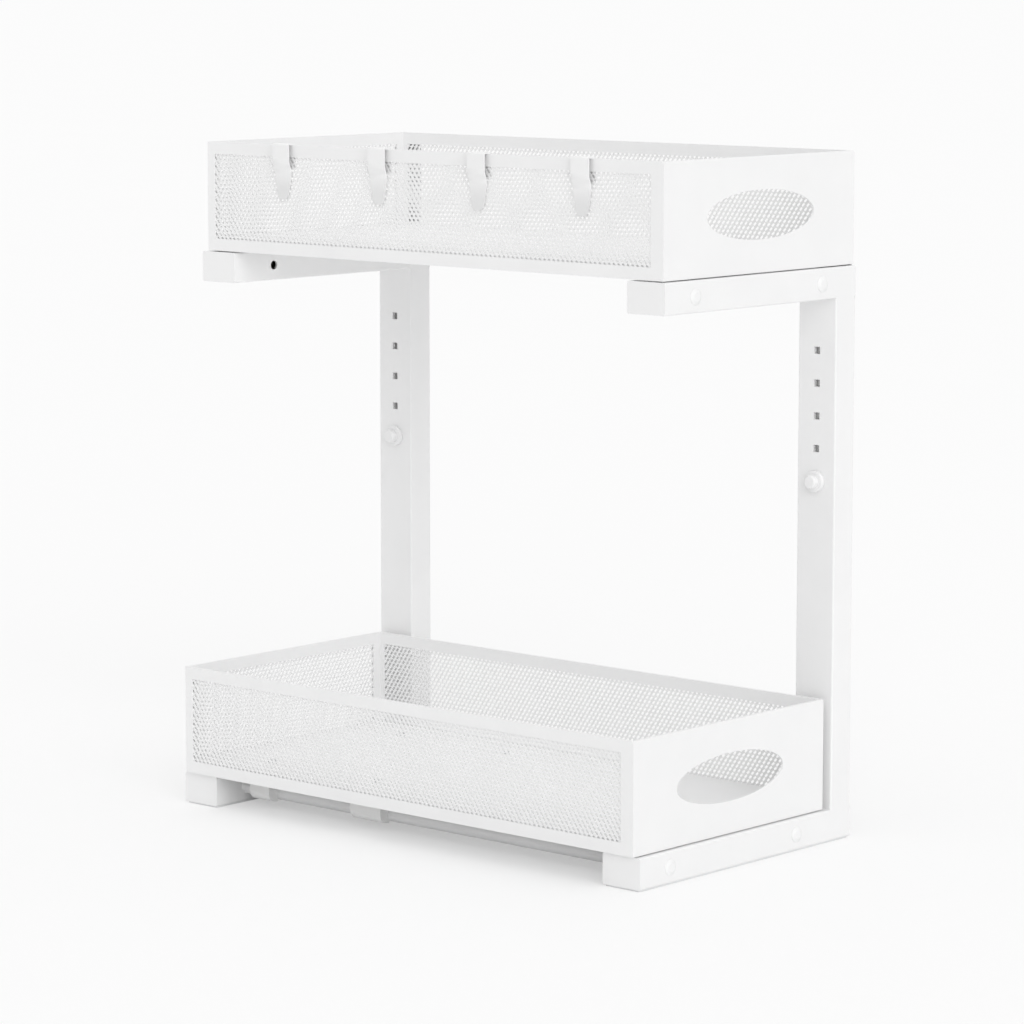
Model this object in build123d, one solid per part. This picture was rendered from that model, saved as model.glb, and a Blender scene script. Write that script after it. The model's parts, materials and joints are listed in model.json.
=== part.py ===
"""Two-tier organizer for the space under a sink.

Two C-shaped side frames of rectangular tube carry two mesh baskets. The lower basket slides
along +X on two rods between the feet. The upper basket rests on arms that telescope in the
uprights and are held by index knobs.

X runs along the baskets, towards the end with the oval hand-hole. Y runs from the open front
to the uprights. Z is up. The origin is on the floor, under the centre of the organizer.
"""
import math
import os
from build123d import *

os.makedirs("parts", exist_ok=True)

# Baskets
basket_length = 393.0
basket_depth = 189.0
basket_height = 72.0
border_top = 8.0
border_bottom = 8.0
border_left = 6.5
border_right = 10.0
hem_thickness = 2.4
panel_thickness = 1.2
floor_step = 1.0
floor_thickness = 1.0
floor_flange_wall = 0.8
hand_hole_length = 106.0
hand_hole_height = 31.0
panel_corner = 1.5

# Rectangular tube of the feet, uprights and arms
tube_wide = 30.0
tube_thin = 20.0
tube_wall = 1.2
tube_corner = 1.2

# Height of the arms, and how the baskets lie in the two side frames
arm_top = 371.0
lower_basket_end_gap = 3.5
lower_basket_proud = 2.5
lower_basket_rear_gap = 4.5
upper_basket_shift = 1.5
arm_proud = 0.7

# End caps pressed into the tubes
cap_flange = 1.6
cap_plug = 9.0
cap_wall = 1.4
cap_clearance = 0.1

# Anti-slip strips under the feet
foot_pad_thickness = 1.0
foot_pad_inset = 1.0
foot_pad_corner = 2.0

# Slide pads on the feet and rest pads on the arms
slide_pad_thickness = 0.5
slide_pad_gap = 0.2
arm_pad_thickness = 0.8
top_pad_width = 18.0
top_pad_inset = 19.5

# Telescoping uprights and their index holes
telescope_clearance = 0.3
index_pitch = 21.0
index_steps = 4
index_hole = 4.6
knob_height = 233.2
inner_end_margin = 15.0

# Index knobs: collar, plunger and spring
collar_radius = 7.0
collar_thickness = 3.0
collar_front_wall = 0.8
collar_neck_radius = 4.2
collar_neck_clearance = 0.1
plunger_pin_radius = 2.0
plunger_shoulder_radius = 3.0
plunger_shoulder = 0.8
button_radius = 4.5
button_length = 4.2
button_chamfer = 0.9
running_clearance = 0.05
spring_wire = 0.36
spring_coil_radius = 2.6
spring_pocket_radius = 3.3
spring_turns = 2
spring_end_gap = 0.1

# Slide rods and their bolts
rod_radius = 5.0
rod_from_front = 28.8
rod_from_rear = 56.2
rod_tap_depth = 14.0
bolt_shank_radius = 2.5
bolt_in_rod = 12.0
bolt_hole_clearance = 0.15
bolt_head_radius = 5.0
bolt_head_height = 1.5
bolt_head_slope = 2.2
bolt_head_edge = 0.5

# Screws and open holes of the arms
arm_screw_from_front = 29.0
arm_screw_length = 10.0
arm_hole_radius = 3.0
arm_hole_from_front = 37.0

# Backstop plates on the rear ends of the arms, behind the upper basket
backstop_width = 16.0
backstop_inset = 4.5
backstop_thickness = 1.5
backstop_gap = 0.3
backstop_foot = 16.0
backstop_below_rim = 7.0
backstop_corner = 3.0

# Expanded mesh in the border frames
mesh_thickness = 0.8
mesh_in_hem = 3.0
mesh_edge_clearance = 0.3
mesh_side_clearance = 0.05
mesh_strand = 2.0
mesh_pitch_x = 12.9
mesh_pitch_z = 18.7

# Glide blocks of the lower basket, clipped round the rods
glide_depth = 24.0
glide_corner = 6.0
glide_under_rod = 0.3
glide_mouth = 7.0
left_glide_from_left = 44.7
left_glide_length = 18.0
middle_glide_from_left = 138.0
middle_glide_length = 27.2
glide_screw_radius = 1.6
glide_screw_length = 5.0
glide_screw_head_radius = 3.0
glide_screw_head_height = 1.0

# Hooks over the front rim of the upper basket
hook_from_left = 71.7
hook_from_right = 63.9
hook_count = 4
hook_width = 14.5
hook_thickness = 1.0
hook_rear_leg = 16.0
hook_rim_clearance = 0.2
hook_standoff = 2.6
hook_bend_start = 11.0
hook_bend_end = 17.0
hook_bend_radius = 10.0
hook_tip_gap = 0.4
hook_drop = 35.5
hook_taper_start = 18.5
hook_tip_width = 8.6
hook_tip_corner = 4.1

# How far a cut runs past the face it opens
overrun = 0.5

# Places worked out from the sizes above
frame_length = basket_length + 2 * lower_basket_end_gap
frame_depth = basket_depth - lower_basket_proud + lower_basket_rear_gap + tube_thin
front = lower_basket_proud - (lower_basket_proud + frame_depth + backstop_thickness) / 2
rear = front + frame_depth
frame_middle = (front + rear) / 2
foot_top = foot_pad_thickness + tube_thin
foot_middle = foot_pad_thickness + tube_thin / 2
arm_bottom = arm_top - tube_thin
arm_middle = arm_top - tube_thin / 2
upper_basket_front = rear - backstop_gap - basket_depth
arm_front = upper_basket_front - arm_proud
upright_front = rear - tube_thin
upright_middle = rear - tube_thin / 2
tube_hollow_wide = tube_wide - 2 * tube_wall
tube_hollow_thin = tube_thin - 2 * tube_wall
inner_wide = tube_hollow_wide - 2 * telescope_clearance
inner_thin = tube_hollow_thin - 2 * telescope_clearance
inner_bottom = knob_height - index_steps * index_pitch - inner_end_margin
rod_spacing = frame_depth - rod_from_front - rod_from_rear
rod_places = (front + rod_from_front, rear - rod_from_rear)
lower_basket_bottom = foot_top + slide_pad_thickness + slide_pad_gap
upper_basket_bottom = arm_top + arm_pad_thickness
lower_basket_left = -basket_length / 2
upper_basket_left = upper_basket_shift - basket_length / 2
lower_basket_front = front - lower_basket_proud
floor_top = border_bottom + floor_step
hook_pitch = (basket_length - hook_from_left - hook_from_right) / (hook_count - 1)


def write(node, shape):
    """Write one node; a list is a group of separate solids."""
    if isinstance(shape, list):
        shape = Compound(children=shape)
    export_step(shape, f"parts/{node}.step")


def block(x, y, z):
    """A box between the (low, high) pairs along X, Y and Z."""
    sizes = [high - low for low, high in (x, y, z)]
    centre = [(high + low) / 2 for low, high in (x, y, z)]
    return Pos(*centre) * Box(*sizes)


def round_x(radius, x, y, z):
    """A cylinder along X between the (low, high) pair x."""
    low, high = x
    return Pos((low + high) / 2, y, z) * Rot(0, 90, 0) * Cylinder(radius, high - low)


def upward(radius, low, high):
    """A cylinder along Z between two heights."""
    return Pos(0, 0, (low + high) / 2) * Cylinder(radius, high - low)


def tube_x(side):
    """The middle of the tubes of one side frame; side is -1 on the left and 1 on the right."""
    return side * (frame_length - tube_wide) / 2


def facing_out(side):
    """Turns +Z to the outer side of a side frame."""
    return Rot(0, 90 * side, 0)


def wall_cut(side_face, direction, y, z, radius):
    """A round cut along X through the one tube wall whose outer face is at side_face."""
    low, high = sorted((side_face + direction * overrun, side_face - direction * (tube_wall + overrun)))
    return round_x(radius, (low, high), y, z)


def tube_section(wide, thin):
    """The outline of a rectangular tube with its hollow."""
    outside = RectangleRounded(wide, thin, tube_corner)
    return outside - Rectangle(wide - 2 * tube_wall, thin - 2 * tube_wall)


def level_tube(x, z, y_low, y_high):
    """A tube that lies along Y with its wide side level."""
    tube = extrude(tube_section(tube_wide, tube_thin), y_high - y_low)
    return Pos(x, y_low, z) * Rot(-90, 0, 0) * tube


def end_cap(x, y_face, z, outward):
    """A hollow plug with a flange that closes a level tube flush with its outline."""
    wide = tube_hollow_wide - 2 * cap_clearance
    thin = tube_hollow_thin - 2 * cap_clearance
    flange = extrude(RectangleRounded(tube_wide, tube_thin, tube_corner), cap_flange)
    ring = Rectangle(wide, thin) - Rectangle(wide - 2 * cap_wall, thin - 2 * cap_wall)
    cap = flange + Pos(0, 0, cap_flange) * extrude(ring, cap_plug)
    return Pos(x, y_face, z) * Rot(90 * outward, 0, 0) * cap


def dome_bolt(shank_length):
    """A bolt with a low bevelled head, along Z, with the underside of its head at zero."""
    bevel = bolt_head_height - bolt_head_edge
    crown = Cone(bolt_head_radius, bolt_head_radius - bolt_head_slope, bevel)
    head = upward(bolt_head_radius, 0, bolt_head_edge) + Pos(0, 0, bolt_head_edge + bevel / 2) * crown
    return head + upward(bolt_shank_radius, -shank_length, 0)


def square_seat(side, low):
    """The stretch of a level tube's wall at an upright, where its long edges are square."""
    x = tube_x(side)
    half = tube_wide / 2
    return block((x - half, x + half), (upright_front, rear - cap_flange), (low, low + tube_wall))


def foot_tube(side):
    """A foot with its cross holes for the rod bolts."""
    x = tube_x(side)
    tube = level_tube(x, foot_middle, front + cap_flange, rear - cap_flange)
    tube += square_seat(side, foot_top - tube_wall)
    reach = tube_wide / 2 + overrun
    for y in rod_places:
        tube -= round_x(bolt_shank_radius + bolt_hole_clearance, (x - reach, x + reach), y, foot_middle)
    return tube


def foot_pad(side):
    """A thin strip under one foot."""
    margin = 2 * foot_pad_inset
    outline = RectangleRounded(tube_wide - margin, frame_depth - margin, foot_pad_corner)
    return Pos(tube_x(side), frame_middle, 0) * extrude(outline, foot_pad_thickness)


def top_pad(side, y, z, thickness):
    """A thin strip on top of a foot or an arm, under a basket."""
    strip = Rectangle(top_pad_width, basket_depth - 2 * top_pad_inset)
    return Pos(tube_x(side), y, z) * extrude(strip, thickness)


def index_holes(x, wide_front, count, start):
    """Square cuts through the front wall of an upright, from the height start upwards."""
    half = index_hole / 2
    cuts = []
    for step in range(count):
        z = start + step * index_pitch
        depth = (wide_front - overrun, wide_front + tube_wall + overrun)
        cuts.append(block((x - half, x + half), depth, (z - half, z + half)))
    return cuts


def outer_upright(side):
    """The upright that stands on the foot; the knob is in its lowest hole."""
    x = tube_x(side)
    section = tube_section(tube_wide, tube_thin)
    tube = Pos(x, upright_middle, foot_top) * extrude(section, arm_bottom - foot_top)
    tube -= index_holes(x, upright_front, index_steps, knob_height + index_pitch)
    neck = Cylinder(collar_neck_radius + collar_neck_clearance, 2 * (tube_wall + overrun))
    return tube - Pos(x, upright_front, knob_height) * Rot(90, 0, 0) * neck


def inner_upright(side):
    """The smaller tube that slides in the outer upright and carries the arm."""
    x = tube_x(side)
    tube = Pos(x, upright_middle, inner_bottom) * extrude(
        tube_section(inner_wide, inner_thin), arm_bottom - inner_bottom)
    lowest = knob_height - index_steps * index_pitch
    return tube - index_holes(x, upright_middle - inner_thin / 2, 2 * index_steps + 1, lowest)


def at_knob(side):
    """The place of an index knob; +Z points away from the front face of the upright."""
    return Pos(tube_x(side), upright_front, knob_height) * Rot(90, 0, 0)


pocket_top = collar_thickness - collar_front_wall
shoulder_top = plunger_shoulder - tube_wall


def knob_collar(side):
    """The fixed collar, riveted in the upright, with the pocket for the spring."""
    collar = upward(collar_radius, 0, collar_thickness) + upward(collar_neck_radius, -tube_wall, 0)
    collar -= upward(spring_pocket_radius, -tube_wall - overrun, pocket_top)
    collar -= upward(plunger_pin_radius + running_clearance, 0, collar_thickness + overrun)
    return at_knob(side) * collar


def knob_plunger(side):
    """The button and its pin, which ends at the inside of the upright's wall."""
    button_end = collar_thickness + button_length
    button = upward(button_radius, collar_thickness, button_end)
    button = chamfer(button.edges().group_by(Axis.Z)[-1], button_chamfer)
    plunger = button + upward(plunger_pin_radius, -tube_wall, collar_thickness)
    return at_knob(side) * (plunger + upward(plunger_shoulder_radius, -tube_wall, shoulder_top))


def knob_spring(side):
    """The coil between the plunger's shoulder and the collar's front wall."""
    room = pocket_top - shoulder_top
    rise = room - spring_wire - 2 * spring_end_gap
    coil = Helix(rise / spring_turns, rise, spring_coil_radius)
    wire = Plane(origin=coil @ 0, z_dir=coil % 0) * Rectangle(spring_wire, spring_wire)
    spring = sweep(wire, path=coil)
    return at_knob(side) * Pos(0, 0, shoulder_top + spring_end_gap + spring_wire / 2) * spring


def slide_rod(y):
    """A round rod between the feet, tapped at both ends."""
    end = frame_length / 2 - tube_wide
    rod = round_x(rod_radius, (-end, end), y, foot_middle)
    for low, high in ((-end - overrun, -end + rod_tap_depth), (end - rod_tap_depth, end + overrun)):
        rod -= round_x(bolt_shank_radius + running_clearance, (low, high), y, foot_middle)
    return rod


def arm_tube(side):
    """An arm with screw holes in its outer wall and open holes in its inner wall."""
    x = tube_x(side)
    tube = level_tube(x, arm_middle, arm_front + cap_flange, rear - cap_flange)
    tube += square_seat(side, arm_bottom)
    outer_face = side * frame_length / 2
    inner_face = side * (frame_length / 2 - tube_wide)
    for step in (0, rod_spacing):
        screw_y = arm_front + arm_screw_from_front + step
        hole_y = arm_front + arm_hole_from_front + step
        tube -= wall_cut(outer_face, side, screw_y, arm_middle, bolt_shank_radius + bolt_hole_clearance)
        tube -= wall_cut(inner_face, -side, hole_y, arm_middle, arm_hole_radius)
    return tube


def backstop(side):
    """A plate on the rear end of an arm that stands up behind the upper basket."""
    x = side * (frame_length / 2 - backstop_inset - backstop_width / 2)
    low = arm_top - backstop_foot
    high = upper_basket_bottom + basket_height - backstop_below_rim
    plate = Pos(0, (low + high) / 2) * Rectangle(backstop_width, high - low)
    plate = fillet(plate.vertices().group_by(Axis.Y)[-1], backstop_corner)
    plate = Plane.XZ * extrude(plate, -backstop_thickness)
    return Pos(x, rear, 0) * plate


def diamond_net(length, height, window_length, window_height):
    """One sheet of expanded mesh: staggered diamond gaps inside the window."""
    columns = max(round(window_length / mesh_pitch_x), 1)
    rows = max(round(window_height / mesh_pitch_z), 1)
    pitch_x = window_length / columns
    pitch_z = window_height / rows
    slope = math.atan2(pitch_z, pitch_x)
    half_x = pitch_x / 2 - mesh_strand / 2 / math.sin(slope)
    half_z = pitch_z / 2 - mesh_strand / 2 / math.cos(slope)
    gaps = []
    for row in range(2 * rows - 1):
        shift = row % 2
        for column in range(columns - shift):
            x = (column + (shift + 1) / 2) * pitch_x - window_length / 2
            z = (row + 1) * pitch_z / 2 - window_height / 2
            corners = ((x - half_x, z), (x, z - half_z), (x + half_x, z), (x, z + half_z))
            gaps.append(Polyline(*corners, close=True).wire())
    outline = Rectangle(length, height).wire()
    return extrude(Face(outline, gaps), mesh_thickness)


def mesh_wall(wall_length, low_border, high_border):
    """A border frame and its mesh, drawn from zero along X, with the outer face at y = 0."""
    window = (low_border, wall_length - high_border)
    window_z = (border_bottom, basket_height - border_top)
    frame = block((0, wall_length), (0, hem_thickness), (0, basket_height))
    frame -= block(window, (-overrun, hem_thickness + overrun), window_z)
    slot = mesh_thickness / 2 + mesh_side_clearance
    seat_x = (window[0] - mesh_in_hem, window[1] + mesh_in_hem)
    seat_z = (window_z[0] - mesh_in_hem, window_z[1] + mesh_in_hem)
    frame -= block(seat_x, (hem_thickness / 2 - slot, hem_thickness / 2 + slot), seat_z)
    window_length = window[1] - window[0]
    window_height = window_z[1] - window_z[0]
    edge = 2 * (mesh_in_hem - mesh_edge_clearance)
    net = diamond_net(window_length + edge, window_height + edge, window_length, window_height)
    net = Rot(90, 0, 0) * net
    net = Pos(sum(window) / 2, (hem_thickness + mesh_thickness) / 2, sum(window_z) / 2) * net
    return frame, net


def end_panel():
    """The solid end with its oval hand-hole; its top edge is folded inwards."""
    panel = Rectangle(basket_depth, basket_height)
    panel = fillet(panel.vertices().group_by(Axis.Y)[-1], panel_corner)
    panel -= Ellipse(hand_hole_length / 2, hand_hole_height / 2)
    panel = Plane.YZ * extrude(panel, panel_thickness)
    inner = basket_length - panel_thickness
    fold = block(
        (basket_length - hem_thickness, inner),
        (hem_thickness, basket_depth - hem_thickness),
        (basket_height - border_top, basket_height))
    return Pos(inner, basket_depth / 2, basket_height / 2) * panel + fold


def floor_pan(screw_holes):
    """The smooth floor, raised on a flange that is folded down along its four sides."""
    high_x = basket_length - panel_thickness
    high_y = basket_depth - hem_thickness
    pan = block((hem_thickness, high_x), (hem_thickness, high_y), (0, floor_top))
    pan -= block(
        (hem_thickness + floor_flange_wall, high_x - floor_flange_wall),
        (hem_thickness + floor_flange_wall, high_y - floor_flange_wall),
        (-overrun, floor_top - floor_thickness))
    hole_low = floor_top - floor_thickness - overrun
    hole = upward(glide_screw_radius + bolt_hole_clearance, hole_low, floor_top + overrun)
    for x, y in screw_holes:
        pan -= Pos(x, y, 0) * hole
    return pan


def basket(name, x, y, z, screw_holes):
    """Write the eight pieces of one basket whose low corner is at (x, y, z)."""
    place = Pos(x, y, z)
    long_side = basket_length - panel_thickness
    long_frame, long_net = mesh_wall(long_side, border_left, border_right - panel_thickness)
    short_frame, short_net = mesh_wall(basket_depth - 2 * hem_thickness, border_left, border_left)
    to_rear = Pos(0, basket_depth - hem_thickness, 0)
    to_left = Pos(hem_thickness, hem_thickness, 0) * Rot(0, 0, 90)
    write(f"{name}_end_panel", place * end_panel())
    write(f"{name}_front_border", place * long_frame)
    write(f"{name}_front_mesh", place * long_net)
    write(f"{name}_rear_border", place * to_rear * long_frame)
    write(f"{name}_rear_mesh", place * to_rear * long_net)
    write(f"{name}_left_border", place * to_left * short_frame)
    write(f"{name}_left_mesh", place * to_left * short_net)
    write(f"{name}_floor_pan", place * floor_pan(screw_holes))


def glide(x_low, length, y):
    """A block under the floor of the lower basket that clips round a rod and is open below it."""
    low = foot_middle - rod_radius - glide_under_rod
    high = lower_basket_bottom + floor_top - floor_thickness
    section = Pos(0, (low + high) / 2) * Rectangle(glide_depth, high - low)
    section = fillet(section.vertices().group_by(Axis.Y)[0], glide_corner)
    section -= Pos(0, foot_middle) * Circle(rod_radius + running_clearance)
    section -= Pos(0, foot_middle - rod_radius) * Rectangle(glide_mouth, rod_radius)
    body = Pos(x_low, y, 0) * extrude(Plane.YZ * section, length)
    depth = glide_screw_length - floor_thickness
    hole = upward(glide_screw_radius + running_clearance, -depth, overrun)
    return body - Pos(x_low + length / 2, y, high) * hole


def glide_screw(x, y):
    """A pan-head screw from inside the lower basket into a glide block."""
    head = upward(glide_screw_head_radius, 0, glide_screw_head_height)
    screw = head + upward(glide_screw_radius, -glide_screw_length, 0)
    return Pos(x, y, lower_basket_bottom + floor_top) * screw


def rim_hook(x):
    """A flat strip bent over the rim; its front leg steps in to the mesh and ends in a tongue."""
    half = hook_thickness / 2
    rear_y = hem_thickness + hook_rim_clearance + half
    front_y = -hook_standoff - half
    tip_y = -hook_tip_gap - half
    bend = half + hook_rim_clearance
    path = FilletPolyline(
        (rear_y, -hook_rear_leg),
        (rear_y, half),
        (front_y, half),
        (front_y, -hook_bend_start),
        (tip_y, -hook_bend_end),
        (tip_y, -hook_drop - overrun),
        radius=[bend, bend, hook_bend_radius, hook_bend_radius])
    strip = extrude(Plane.YZ * trace(path, hook_thickness), hook_width / 2, both=True)
    top = hook_thickness + overrun
    outline = Polyline(
        (-hook_width / 2, top),
        (-hook_width / 2, -hook_taper_start),
        (-hook_tip_width / 2, -hook_drop),
        (hook_tip_width / 2, -hook_drop),
        (hook_width / 2, -hook_taper_start),
        (hook_width / 2, top),
        close=True)
    tongue = make_face(outline)
    tongue = fillet(tongue.vertices().group_by(Axis.Y)[0], hook_tip_corner)
    reach = basket_depth / 2
    tongue = Rot(90, 0, 0) * extrude(tongue, reach, both=True)
    rim_top = upper_basket_bottom + basket_height
    return Pos(x, upper_basket_front, rim_top) * (strip & tongue)


# Side frames and arms, left then right
for name, side in (("left", -1), ("right", 1)):
    x_middle = tube_x(side)
    outer_face = side * frame_length / 2
    write(f"{name}_foot", foot_tube(side))
    write(f"{name}_foot_end_caps", [
        end_cap(x_middle, front, foot_middle, -1), end_cap(x_middle, rear, foot_middle, 1)])
    write(f"{name}_foot_pad", foot_pad(side))
    write(f"{name}_slide_pad", top_pad(
        side, lower_basket_front + basket_depth / 2, foot_top, slide_pad_thickness))
    write(f"{name}_outer_upright", outer_upright(side))
    write(f"{name}_inner_upright", inner_upright(side))
    write(f"{name}_knob_collar", knob_collar(side))
    write(f"{name}_knob_plunger", knob_plunger(side))
    write(f"{name}_knob_spring", knob_spring(side))
    write(f"{name}_arm", arm_tube(side))
    write(f"{name}_arm_end_caps", [
        end_cap(x_middle, arm_front, arm_middle, -1), end_cap(x_middle, rear, arm_middle, 1)])
    write(f"{name}_arm_pad", top_pad(
        side, upper_basket_front + basket_depth / 2, arm_top, arm_pad_thickness))
    write(f"{name}_arm_screws", [
        Pos(outer_face, arm_front + arm_screw_from_front + step, arm_middle)
        * facing_out(side) * dome_bolt(arm_screw_length)
        for step in (0, rod_spacing)])
    write(f"{name}_backstop", backstop(side))

# Slide rods and the bolts that hold them
write("front_slide_rod", slide_rod(rod_places[0]))
write("rear_slide_rod", slide_rod(rod_places[1]))
write("rod_bolts", [
    Pos(side * frame_length / 2, y, foot_middle) * facing_out(side) * dome_bolt(tube_wide + bolt_in_rod)
    for side in (-1, 1) for y in rod_places])

# Glide blocks, front then rear, and their screws
glide_spots = (
    ("left", left_glide_from_left, left_glide_length),
    ("middle", middle_glide_from_left, middle_glide_length))
screws = []
for row, y in zip(("front", "rear"), rod_places):
    for name, from_left, length in glide_spots:
        x_low = from_left - frame_length / 2
        write(f"{row}_{name}_glide", glide(x_low, length, y))
        screws.append((x_low + length / 2, y))
write("glide_screws", [glide_screw(x, y) for x, y in screws])

# Baskets
basket(
    "lower", lower_basket_left, lower_basket_front, lower_basket_bottom,
    [(x - lower_basket_left, y - lower_basket_front) for x, y in screws])
basket("upper", upper_basket_left, upper_basket_front, upper_basket_bottom, [])

# Hooks
for number in range(hook_count):
    write(f"rim_hook_{number + 1}", rim_hook(upper_basket_left + hook_from_left + number * hook_pitch))
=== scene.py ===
"""Looks of the two-tier organizer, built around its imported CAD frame.

All lengths are in metres in the row frame: X along the baskets, Y towards the uprights, Z up.
"""

import json
import math

import bmesh
import bpy
from mathutils import Matrix, Vector


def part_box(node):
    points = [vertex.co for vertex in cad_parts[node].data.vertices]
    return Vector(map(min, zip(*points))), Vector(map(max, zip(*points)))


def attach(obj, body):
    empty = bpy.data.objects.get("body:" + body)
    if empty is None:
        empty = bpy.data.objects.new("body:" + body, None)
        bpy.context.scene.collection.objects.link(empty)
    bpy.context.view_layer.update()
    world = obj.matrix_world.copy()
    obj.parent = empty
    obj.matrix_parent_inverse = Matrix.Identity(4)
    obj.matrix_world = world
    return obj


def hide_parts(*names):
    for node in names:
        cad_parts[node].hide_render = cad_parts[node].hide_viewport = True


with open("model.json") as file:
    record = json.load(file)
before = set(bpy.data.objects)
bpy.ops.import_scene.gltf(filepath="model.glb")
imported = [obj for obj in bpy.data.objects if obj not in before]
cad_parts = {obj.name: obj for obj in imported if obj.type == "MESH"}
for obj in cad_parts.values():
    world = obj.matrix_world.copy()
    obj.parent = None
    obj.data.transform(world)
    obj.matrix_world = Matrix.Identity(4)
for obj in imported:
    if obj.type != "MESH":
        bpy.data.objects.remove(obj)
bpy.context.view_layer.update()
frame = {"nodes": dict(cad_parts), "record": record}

MM = 0.001
SIDES = ("left", "right")
BASKETS = ("lower", "upper")
HOOKS = ("rim_hook_1", "rim_hook_2", "rim_hook_3", "rim_hook_4")


# Parts of a material
def new_material(name):
    """A node material with its principled shader and texture coordinates."""
    material = bpy.data.materials.new(name)
    material.use_nodes = True
    nodes = material.node_tree.nodes
    shader = nodes["Principled BSDF"]
    coords = nodes.new("ShaderNodeTexCoord")
    return material, shader, coords


def noise(material, coords, size, detail=2.0, roughness=0.5):
    """Noise whose features are about size metres across."""
    node = material.node_tree.nodes.new("ShaderNodeTexNoise")
    node.inputs["Scale"].default_value = 1 / size
    node.inputs["Detail"].default_value = detail
    node.inputs["Roughness"].default_value = roughness
    material.node_tree.links.new(coords.outputs["Object"], node.inputs["Vector"])
    return node.outputs["Fac"]


def ramp(material, factor, low, high, start=0.3, end=0.7):
    """A colour or grey between low and high, as factor goes from start to end."""
    node = material.node_tree.nodes.new("ShaderNodeValToRGB")
    for element, place, value in zip(node.color_ramp.elements, (start, end), (low, high)):
        element.position = place
        element.color = (*value, 1) if isinstance(value, tuple) else (value, value, value, 1)
    material.node_tree.links.new(factor, node.inputs["Fac"])
    return node.outputs["Color"]


def bump(material, shader, height, strength, distance):
    """Let a height texture roughen the surface."""
    node = material.node_tree.nodes.new("ShaderNodeBump")
    node.inputs["Strength"].default_value = strength
    node.inputs["Distance"].default_value = distance
    material.node_tree.links.new(height, node.inputs["Height"])
    material.node_tree.links.new(node.outputs["Normal"], shader.inputs["Normal"])


def paint_shade_below(material, top, bottom, tone):
    """Paint shade: multiply the colour by tone below the height bottom, and fade to none at the height
    top.
    """
    tree = material.node_tree
    shader = tree.nodes["Principled BSDF"]
    coords = tree.nodes["Texture Coordinate"]
    height = tree.nodes.new("ShaderNodeSeparateXYZ")
    tree.links.new(coords.outputs["Object"], height.inputs["Vector"])
    fade = tree.nodes.new("ShaderNodeMapRange")
    fade.interpolation_type = "SMOOTHSTEP"
    fade.inputs["From Min"].default_value = bottom
    fade.inputs["From Max"].default_value = top
    tree.links.new(height.outputs["Z"], fade.inputs["Value"])
    mix = tree.nodes.new("ShaderNodeMix")
    mix.data_type = "RGBA"
    mix.blend_type = "MULTIPLY"
    mix.inputs["Factor"].default_value = 1.0
    source = shader.inputs["Base Color"].links[0].from_socket
    tree.links.new(source, mix.inputs["A"])
    share = ramp(material, fade.outputs["Result"], tone, 1.0, start=0.0, end=1.0)
    tree.links.new(share, mix.inputs["B"])
    tree.links.new(mix.outputs["Result"], shader.inputs["Base Color"])


# Materials
PAINT_CLOUD = 35 * MM
PAINT_CLOUD_DETAIL = 3.0
GLOSS_PATCH = 9 * MM
COAT_ROUGHNESS = 0.35
GRAIN_DETAIL = 2.0
GRAIN_ROUGHNESS = 0.45
GRAIN_STRENGTH = 0.35
POWDER_DARK = (0.856, 0.856, 0.857)
POWDER_LIGHT = (0.874, 0.874, 0.875)
# Grey of the backstops, which is painted shade
BACKSTOP_SHADE_DARK = (0.56, 0.56, 0.565)
BACKSTOP_SHADE_LIGHT = (0.60, 0.60, 0.605)
POWDER_GLOSS = (0.42, 0.50)
POWDER_GRAIN = 1.3 * MM
POWDER_DEPTH = 0.05 * MM
POWDER_COAT = 0.06


def painted(name, dark, light, rough, grain, depth, coat=0.0):
    """Paint or moulded plastic: faint cloudy colour, uneven gloss and a fine grain."""
    material, shader, coords = new_material(name)
    link = material.node_tree.links.new
    cloud = noise(material, coords, PAINT_CLOUD, PAINT_CLOUD_DETAIL)
    link(ramp(material, cloud, dark, light), shader.inputs["Base Color"])
    patches = noise(material, coords, GLOSS_PATCH)
    link(ramp(material, patches, rough[0], rough[1]), shader.inputs["Roughness"])
    shader.inputs["Coat Weight"].default_value = coat
    shader.inputs["Coat Roughness"].default_value = COAT_ROUGHNESS
    fine = noise(material, coords, grain, GRAIN_DETAIL, GRAIN_ROUGHNESS)
    bump(material, shader, fine, GRAIN_STRENGTH, depth)
    return material


def powder_coat(name, dark, light):
    """Satin powder coat in a colour between dark and light."""
    return painted(name, dark, light, POWDER_GLOSS, POWDER_GRAIN, POWDER_DEPTH, POWDER_COAT)


def mesh_coat(name):
    """The powder coat on the mesh, duller than on the tubes and a little darker; the darker colour is
    painted shade among the strands.
    """
    return painted(
        name, dark=(0.848, 0.848, 0.849), light=(0.866, 0.866, 0.867), rough=(0.45, 0.55),
        grain=0.6 * MM, depth=0.02 * MM)


def moulded_plastic(name):
    """Smooth white plastic with a soft gloss."""
    return painted(
        name, dark=POWDER_DARK, light=(0.872, 0.872, 0.873), rough=(0.34, 0.42),
        grain=0.5 * MM, depth=0.02 * MM)


def pale_rubber(name):
    """Dull pale grey rubber."""
    return painted(
        name, dark=(0.74, 0.745, 0.75), light=(0.79, 0.795, 0.80), rough=(0.78, 0.88),
        grain=0.9 * MM, depth=0.06 * MM)


NYLON_GLOW = 0.12
NYLON_GLOW_REACH = 2 * MM


def natural_nylon(name):
    """Smooth nylon that light enters a little way."""
    material = painted(
        name, dark=(0.868, 0.868, 0.862), light=(0.888, 0.888, 0.882), rough=(0.38, 0.48),
        grain=0.8 * MM, depth=0.02 * MM)
    shader = material.node_tree.nodes["Principled BSDF"]
    shader.inputs["Subsurface Weight"].default_value = NYLON_GLOW
    shader.inputs["Subsurface Radius"].default_value = (NYLON_GLOW_REACH,) * 3
    return material


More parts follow.
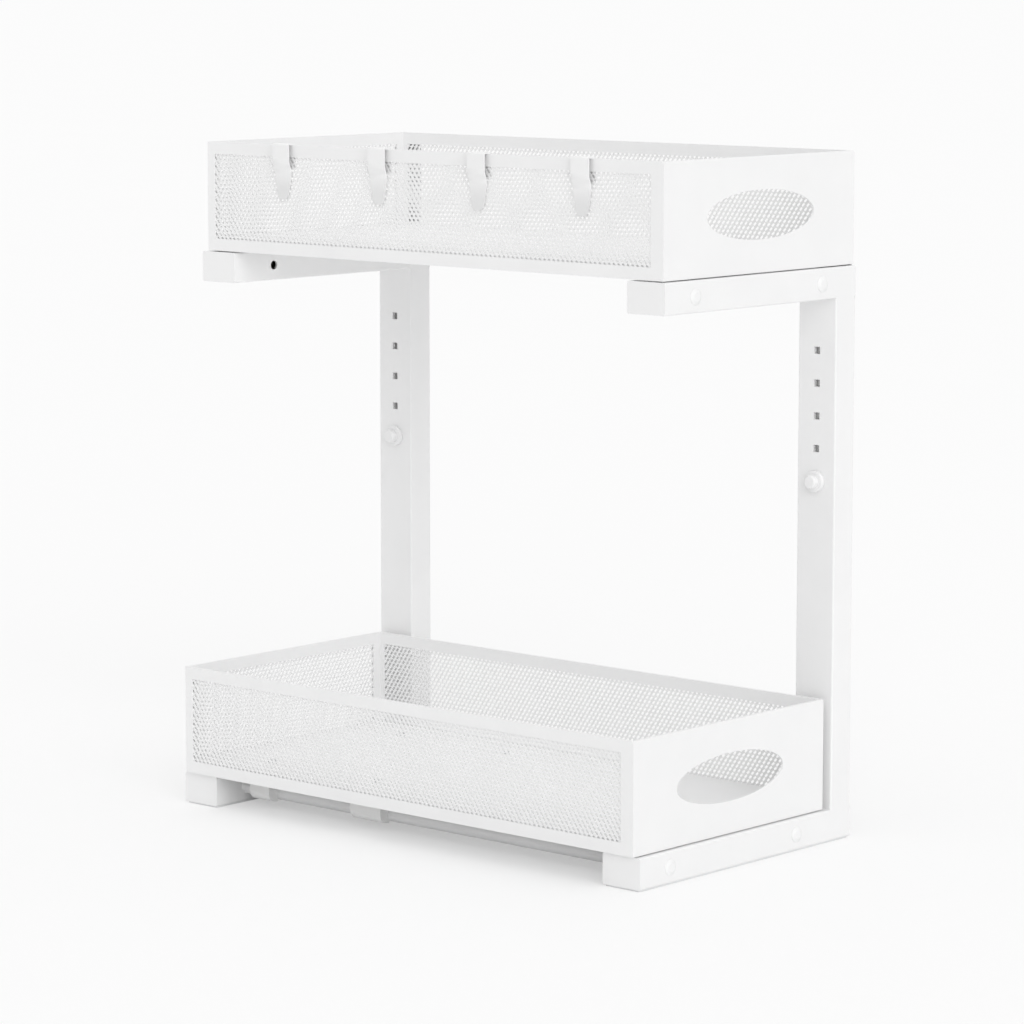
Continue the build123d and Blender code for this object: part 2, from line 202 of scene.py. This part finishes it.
STEEL_DARK = (0.56, 0.57, 0.58)
STEEL_LIGHT = (0.70, 0.71, 0.72)
STEEL_GLOSS = (0.28, 0.42)
STEEL_CLOUD = 3 * MM
STEEL_CLOUD_DETAIL = 3.0
STEEL_GRAIN = 0.25 * MM
STEEL_GRAIN_STRENGTH = 0.3
STEEL_GRAIN_DEPTH = 0.01 * MM


def zinc_steel(name):
    """Bright zinc-plated steel with a fine grain."""
    material, shader, coords = new_material(name)
    link = material.node_tree.links.new
    shader.inputs["Metallic"].default_value = 1.0
    cloud = noise(material, coords, STEEL_CLOUD, STEEL_CLOUD_DETAIL)
    link(ramp(material, cloud, STEEL_DARK, STEEL_LIGHT), shader.inputs["Base Color"])
    link(ramp(material, cloud, *STEEL_GLOSS), shader.inputs["Roughness"])
    bump(material, shader, noise(material, coords, STEEL_GRAIN), STEEL_GRAIN_STRENGTH, STEEL_GRAIN_DEPTH)
    return material


powder = powder_coat("white_powder", POWDER_DARK, POWDER_LIGHT)
mesh_paint = mesh_coat("white_mesh_paint_shaded")
plastic = moulded_plastic("white_moulded_plastic")
nylon = natural_nylon("natural_nylon")
rubber = pale_rubber("pale_rubber_pad")
steel = zinc_steel("zinc_steel")

looks = {
    "white_powder_coat": powder,
    "white_mesh": mesh_paint,
    "white_plastic": plastic,
    "pale_rubber": rubber,
    "spring_steel": steel,
    "nylon": nylon,
}


def dress(name, material):
    """Give a CAD node one material."""
    node = frame["nodes"][name]
    node.data.materials.clear()
    node.data.materials.append(material)


for row in frame["record"]["subparts"]:
    dress(row["node"], looks[row["material_slot"]])

# The backstops get a grey paint: painted shade, standing in for the shade on the plates behind the rear
# mesh
backstop_shade_paint = powder_coat("backstop_grey_painted_shade", BACKSTOP_SHADE_DARK, BACKSTOP_SHADE_LIGHT)
for side in SIDES:
    dress(f"{side}_backstop", backstop_shade_paint)

# The hooks get darker towards their tips: painted shade, standing in for the shade on tips that curve in
# towards the mesh and face down
HOOK_FADE_START = 15 * MM
HOOK_FADE_END = 5 * MM
HOOK_TIP_SHADE = 0.87
hook_low, hook_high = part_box(HOOKS[0])
hook_shaded_paint = powder_coat("white_powder_hook_painted_shade", POWDER_DARK, POWDER_LIGHT)
paint_shade_below(hook_shaded_paint, hook_high.z - HOOK_FADE_START, hook_low.z + HOOK_FADE_END, HOOK_TIP_SHADE)
for hook in HOOKS:
    dress(hook, hook_shaded_paint)


# Expanded mesh
CELL_WIDE = 3.75 * MM
CELL_HIGH = 5.45 * MM
KNUCKLE = 1.1 * MM
WIDE_STRAND = 1.80 * MM
NARROW_STRAND = 0.56 * MM
JOINT = 0.80 * MM
SHEET = 0.34 * MM
FORWARD = 0.6 * MM
MERGE_DIGITS = 3


def cell_rings(wide, high):
    """The six corners of one cell and of its opening, in X and Z about the cell's middle."""
    corner = high / 2 - KNUCKLE / 2
    outline = ((0, corner), (-wide / 2, KNUCKLE / 2), (-wide / 2, -KNUCKLE / 2),
               (0, -corner), (wide / 2, -KNUCKLE / 2), (wide / 2, KNUCKLE / 2))
    slope = (corner - KNUCKLE / 2) / (wide / 2)
    reach = math.hypot(1, slope)
    wide_drop = WIDE_STRAND / 2 * reach
    narrow_drop = NARROW_STRAND / 2 * reach
    top_x = (narrow_drop - wide_drop) / (2 * slope)
    top_z = corner - (wide_drop + narrow_drop) / 2
    side = wide / 2 - JOINT / 2
    upper_z = corner - slope * side - narrow_drop
    lower_z = slope * side + wide_drop - corner
    opening = ((top_x, top_z), (-side, upper_z), (-side, lower_z),
               (-top_x, -top_z), (side, -upper_z), (side, -lower_z))
    return outline, opening


def expanded_sheet(name, length, height):
    """A sheet of expanded metal, drawn in X and Z about its middle and standing at y = 0.

    The openings are upright six-sided diamonds. Seen from the outer face, at -Y, the strands that
    rise to the right are narrow and those that fall to the right are wide.
    """
    columns = round(length / CELL_WIDE)
    rows = round(height / CELL_HIGH)
    wide = length / columns
    high = height / rows
    outline, opening = cell_rings(wide, high)
    places = {}
    points = []
    faces = []

    def point(x, y, z):
        key = tuple(round(value / MM, MERGE_DIGITS) for value in (x, y, z))
        if key not in places:
            places[key] = len(points)
            points.append((x, y, z))
        return places[key]

    for row in range(2 * rows - 1):
        shift = row % 2
        for column in range(columns - shift):
            x0 = (column + (shift + 1) / 2) * wide - length / 2
            z0 = (row + 1) * high / 2 - height / 2
            rings = [[point(x0 + x, y, z0 + z) for x, z in ring]
                     for y in (-SHEET / 2, SHEET / 2) for ring in (outline, opening)]
            out_front, in_front, out_back, in_back = rings
            for i in range(len(outline)):
                j = (i + 1) % len(outline)
                faces.append((out_front[i], out_front[j], in_front[j], in_front[i]))
                faces.append((out_back[j], out_back[i], in_back[i], in_back[j]))
                faces.append((in_front[i], in_front[j], in_back[j], in_back[i]))
    data = bpy.data.meshes.new(name)
    data.from_pydata(points, [], faces)
    work = bmesh.new()
    work.from_mesh(data)
    rim = [edge for edge in work.edges if edge.is_boundary]
    bmesh.ops.bridge_loops(work, edges=rim)
    bmesh.ops.recalc_face_normals(work, faces=work.faces)
    work.to_mesh(data)
    work.free()
    data.materials.append(mesh_paint)
    return data


def place_sheet(basket, wall, data, turn, shift):
    """Stand a sheet in the CAD net that it replaces, turned outer face out and moved by shift."""
    node = f"{basket}_{wall}_mesh"
    low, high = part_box(node)
    sheet = bpy.data.objects.new(f"{basket}_{wall}_expanded", data)
    bpy.context.scene.collection.objects.link(sheet)
    place = Matrix.Translation((low + high) / 2 + Vector(shift))
    sheet.matrix_world = place @ Matrix.Rotation(math.radians(turn), 4, "Z")
    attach(sheet, f"{basket}_basket")
    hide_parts(node)


low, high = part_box("lower_front_mesh")
long_sheet = expanded_sheet("long_sheet", high.x - low.x, high.z - low.z)
low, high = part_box("lower_left_mesh")
short_sheet = expanded_sheet("short_sheet", high.y - low.y, high.z - low.z)
for basket in BASKETS:
    place_sheet(basket, "front", long_sheet, turn=0, shift=(0, -FORWARD, 0))
    place_sheet(basket, "rear", long_sheet, turn=180, shift=(0, -FORWARD, 0))
    place_sheet(basket, "left", short_sheet, turn=-90, shift=(FORWARD, 0, 0))


# Liners behind the index holes of the inner uprights
LINER_WIDE = 16 * MM
LINER_LEG = 4 * MM
LINER_THICK = 0.6 * MM
LINER_CORNER = 0.18 * MM
TUBE_WALL = 1.2 * MM
LINER_GAP = 1.5 * MM
LINER_INSET = 6 * MM


def channel(name, wide, leg, thick, height):
    """An open channel along Z with rounded corners; its web is at y = 0 and its legs point to +Y."""
    work = bmesh.new()
    half = wide / 2
    outline = [(-half, leg), (-half, 0), (half, 0), (half, leg),
               (half - thick, leg), (half - thick, thick), (thick - half, thick), (thick - half, leg)]
    rings = [[work.verts.new((x, y, z)) for x, y in outline] for z in (-height / 2, height / 2)]
    count = len(outline)
    for i in range(count):
        j = (i + 1) % count
        work.faces.new((rings[0][i], rings[0][j], rings[1][j], rings[1][i]))
    for ring in rings:
        for a, b, c, d in ((0, 1, 6, 7), (1, 2, 5, 6), (2, 3, 4, 5)):
            work.faces.new((ring[a], ring[b], ring[c], ring[d]))
    bmesh.ops.recalc_face_normals(work, faces=work.faces)
    upright = [edge for edge in work.edges if edge.verts[0].co.z != edge.verts[1].co.z]
    bmesh.ops.bevel(work, geom=upright, offset=LINER_CORNER, segments=2, affect="EDGES", profile=0.5)
    data = bpy.data.meshes.new(name)
    work.to_mesh(data)
    work.free()
    return data


def line_holes(side):
    """Stand a channel in the inner upright, behind the wall with the index holes."""
    name = f"{side}_hole_liner"
    low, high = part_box(f"{side}_inner_upright")
    data = channel(name, LINER_WIDE, LINER_LEG, LINER_THICK, high.z - low.z - 2 * LINER_INSET)
    data.materials.append(nylon)
    liner = bpy.data.objects.new(name, data)
    bpy.context.scene.collection.objects.link(liner)
    liner.location = ((low.x + high.x) / 2, low.y + TUBE_WALL + LINER_GAP, (low.z + high.z) / 2)
    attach(liner, f"{side}_arm")


for side in SIDES:
    line_holes(side)


# Soft edges
WELD_DISTANCE = 0.001 * MM
SHARP_ANGLE = 40
SCREW_EDGE = 0.25 * MM
BUTTON_EDGE = 0.35 * MM
COLLAR_EDGE = 0.5 * MM
CAP_EDGE = 0.4 * MM
GLIDE_EDGE = 1.6 * MM
HOOK_EDGE = 0.25 * MM


def soften(name, width, segments=2):
    """Round the sharp edges of a CAD piece."""
    node = frame["nodes"][name]
    weld = node.modifiers.new("weld", "WELD")
    weld.merge_threshold = WELD_DISTANCE
    bevel = node.modifiers.new("bevel", "BEVEL")
    bevel.width = width
    bevel.segments = segments
    bevel.limit_method = "ANGLE"
    bevel.angle_limit = math.radians(SHARP_ANGLE)


for name in ("rod_bolts", "left_arm_screws", "right_arm_screws"):
    soften(name, SCREW_EDGE)
for side in SIDES:
    soften(f"{side}_knob_plunger", BUTTON_EDGE, segments=3)
    soften(f"{side}_knob_collar", COLLAR_EDGE, segments=3)
    soften(f"{side}_foot_end_caps", CAP_EDGE)
    soften(f"{side}_arm_end_caps", CAP_EDGE)
for row in ("front", "rear"):
    for place in ("left", "middle"):
        soften(f"{row}_{place}_glide", GLIDE_EDGE, segments=4)
for hook in HOOKS:
    soften(hook, HOOK_EDGE)


# Floor, light and camera
FLOOR_REACH = 100
FLOOR_CLOUD = 0.4
FLOOR_DARK = 0.925
FLOOR_LIGHT = 0.93
FLOOR_ROUGHNESS = 0.9
FLOOR_LIFT = 0.42
FLOOR_SEEN = 0.540
FLOOR_SEEN_STEP = 0.002
SKY_LOW = 0.30
SKY_TOP = 1.20
WHITE = 0.974
SUN = Vector((0.265, -0.175, 0.115))
SUN_ANGLE = 50
SENSOR_WIDTH = 36
FOCAL_LENGTH = 142.2817
CAMERA_PLACE = (1.75024, -1.95474, 0.56799)
CAMERA_TILT = 82.1273
CAMERA_TURN = 41.8179
CAMERA_REACH = 500


def direct_view(tree):
    """One for camera, glossy and transmission rays, and zero for the rest."""
    path = tree.nodes.new("ShaderNodeLightPath")
    first = tree.nodes.new("ShaderNodeMath")
    first.operation = "MAXIMUM"
    second = tree.nodes.new("ShaderNodeMath")
    second.operation = "MAXIMUM"
    tree.links.new(path.outputs["Is Camera Ray"], first.inputs[0])
    tree.links.new(path.outputs["Is Glossy Ray"], first.inputs[1])
    tree.links.new(first.outputs[0], second.inputs[0])
    tree.links.new(path.outputs["Is Transmission Ray"], second.inputs[1])
    return second.outputs[0]


def floor_material():
    """A matt white floor; to the camera its shade is lifted, and the object's shadow stays."""
    material, shader, coords = new_material("studio_floor")
    tree = material.node_tree
    cloud = noise(material, coords, FLOOR_CLOUD)
    tree.links.new(ramp(material, cloud, FLOOR_DARK, FLOOR_LIGHT), shader.inputs["Base Color"])
    shader.inputs["Roughness"].default_value = FLOOR_ROUGHNESS
    shader.inputs["Specular IOR Level"].default_value = 0.0
    matt = tree.nodes.new("ShaderNodeBsdfDiffuse")
    seen_colour = ramp(material, cloud, FLOOR_SEEN, FLOOR_SEEN + FLOOR_SEEN_STEP)
    tree.links.new(seen_colour, matt.inputs["Color"])
    lift = tree.nodes.new("ShaderNodeEmission")
    lift.inputs["Color"].default_value = (1, 1, 1, 1)
    lift.inputs["Strength"].default_value = FLOOR_LIFT
    seen = tree.nodes.new("ShaderNodeAddShader")
    tree.links.new(matt.outputs[0], seen.inputs[0])
    tree.links.new(lift.outputs[0], seen.inputs[1])
    both = tree.nodes.new("ShaderNodeMixShader")
    tree.links.new(direct_view(tree), both.inputs["Fac"])
    tree.links.new(shader.outputs[0], both.inputs[1])
    tree.links.new(seen.outputs[0], both.inputs[2])
    tree.links.new(both.outputs[0], tree.nodes["Material Output"].inputs["Surface"])
    return material


def make_floor():
    """A wide plane under the feet."""
    work = bmesh.new()
    bmesh.ops.create_grid(work, x_segments=4, y_segments=4, size=FLOOR_REACH)
    data = bpy.data.meshes.new("floor")
    work.to_mesh(data)
    work.free()
    data.materials.append(floor_material())
    floor = bpy.data.objects.new("floor", data)
    bpy.context.scene.collection.objects.link(floor)


def make_world():
    """Soft white light, stronger from above, and a white background for the camera."""
    world = bpy.data.worlds.new("studio")
    bpy.context.scene.world = world
    world.use_nodes = True
    nodes = world.node_tree.nodes
    link = world.node_tree.links.new
    nodes.clear()
    output = nodes.new("ShaderNodeOutputWorld")
    mix = nodes.new("ShaderNodeMixShader")
    lit = nodes.new("ShaderNodeBackground")
    lit.inputs["Color"].default_value = (1, 1, 1, 1)
    coords = nodes.new("ShaderNodeTexCoord")
    height = nodes.new("ShaderNodeSeparateXYZ")
    link(coords.outputs["Generated"], height.inputs["Vector"])
    strength = nodes.new("ShaderNodeMapRange")
    strength.inputs["To Min"].default_value = SKY_LOW
    strength.inputs["To Max"].default_value = SKY_TOP
    link(height.outputs["Z"], strength.inputs["Value"])
    link(strength.outputs["Result"], lit.inputs["Strength"])
    seen = nodes.new("ShaderNodeBackground")
    seen.inputs["Color"].default_value = (1, 1, 1, 1)
    seen.inputs["Strength"].default_value = WHITE
    link(direct_view(world.node_tree), mix.inputs["Fac"])
    link(lit.outputs[0], mix.inputs[1])
    link(seen.outputs[0], mix.inputs[2])
    link(mix.outputs[0], output.inputs["Surface"])


def make_sun():
    """A wide soft light from the front right, low over the floor."""
    data = bpy.data.lights.new("soft_sun", "SUN")
    data.energy = SUN.length * math.pi
    data.angle = math.radians(SUN_ANGLE)
    sun = bpy.data.objects.new("soft_sun", data)
    bpy.context.scene.collection.objects.link(sun)
    sun.rotation_euler = SUN.to_track_quat("Z", "Y").to_euler()


def make_camera():
    """The camera that was fitted to the photo."""
    data = bpy.data.cameras.new("camera")
    data.sensor_width = SENSOR_WIDTH
    data.lens = FOCAL_LENGTH
    data.clip_end = CAMERA_REACH
    camera = bpy.data.objects.new("camera", data)
    bpy.context.scene.collection.objects.link(camera)
    camera.location = CAMERA_PLACE
    camera.rotation_euler = (math.radians(CAMERA_TILT), 0, math.radians(CAMERA_TURN))
    bpy.context.scene.camera = camera


make_floor()
make_world()
make_sun()
make_camera()
bpy.context.scene.view_settings.view_transform = "Standard"
